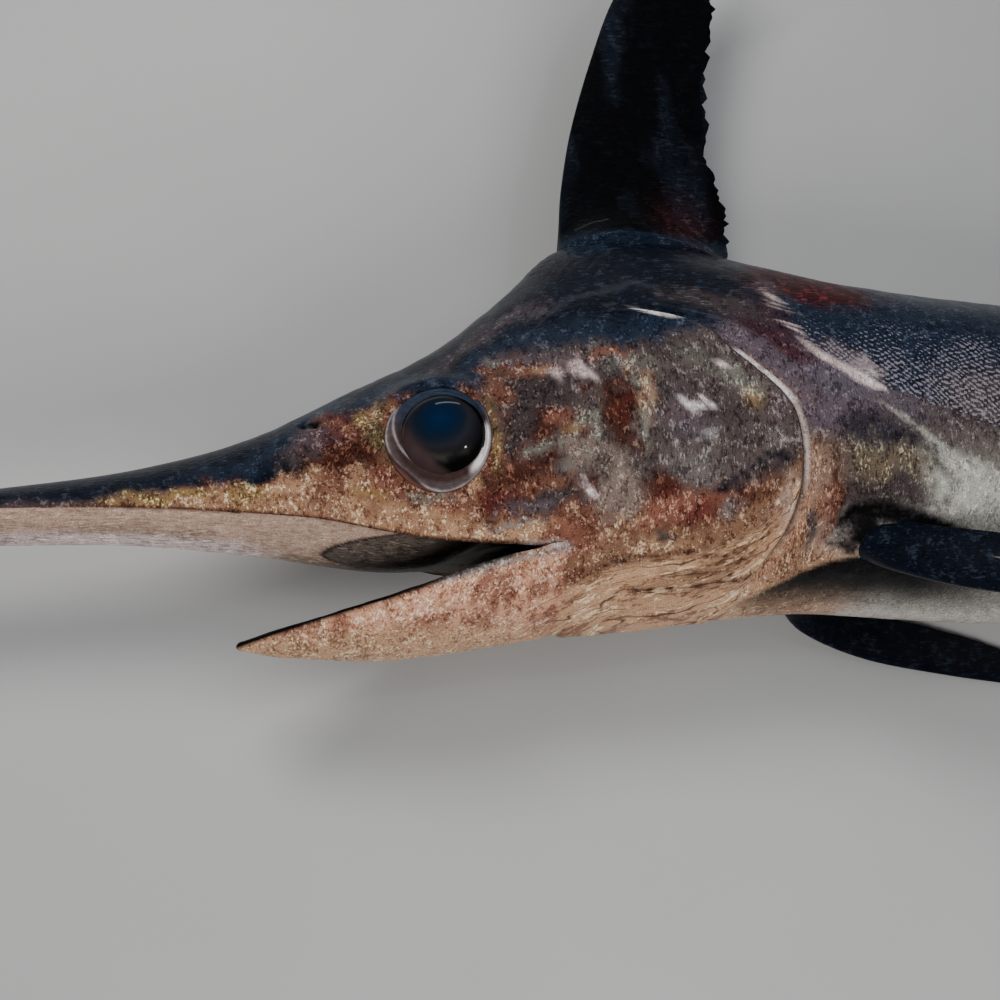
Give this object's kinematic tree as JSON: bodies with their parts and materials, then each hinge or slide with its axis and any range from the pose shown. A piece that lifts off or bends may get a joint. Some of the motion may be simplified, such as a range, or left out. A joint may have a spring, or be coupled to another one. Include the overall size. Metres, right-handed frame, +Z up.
{
  "type": "swordfish",
  "caption": "Life-size still model of a caught swordfish lying on its side, long flat bill forward, mouth a little open, tall sickle first dorsal fin and forked tail",
  "frame": {"origin": "on the floor, at the middle of the flat on the right flank on which the fish lies", "axes": "+X from the bill towards the tail, +Y towards the back and the dorsal fins, +Z up, out of the left side"},
  "size_m": [2.895, 1.044, 0.3044],
  "materials": {
    "bill_skin": "wet skin over bone: blue-black above, pinkish beige below",
    "head_skin": "wet mottled skin, brown, rust and cream on the cheek and blue-black on the crown",
    "gill_cover_skin": "wet grey-brown skin with fine granular mottling",
    "body_skin": "wet scaleless skin, blue-black back, purple-grey flank and pale belly",
    "fin_skin": "glossy blue-black fin skin over close-set rays",
    "eye": "clear wet cornea over a wide black-blue pupil"
  },
  "bodies": {
    "root": {"bill": "bill_skin", "head": "head_skin", "lower_jaw": "head_skin", "gill_cover_left": "gill_cover_skin", "gill_cover_right": "gill_cover_skin", "eye_left": "eye", "eye_right": "eye", "trunk": "body_skin", "tail": "body_skin", "tail_stem": "body_skin", "keel_left": "body_skin", "keel_right": "body_skin", "first_dorsal_fin": "fin_skin", "second_dorsal_fin": "fin_skin", "first_anal_fin": "fin_skin", "second_anal_fin": "fin_skin", "pectoral_fin_left": "fin_skin", "pectoral_fin_right": "fin_skin", "caudal_fin_upper": "fin_skin", "caudal_fin_lower": "fin_skin"}
  },
  "joints": []
}
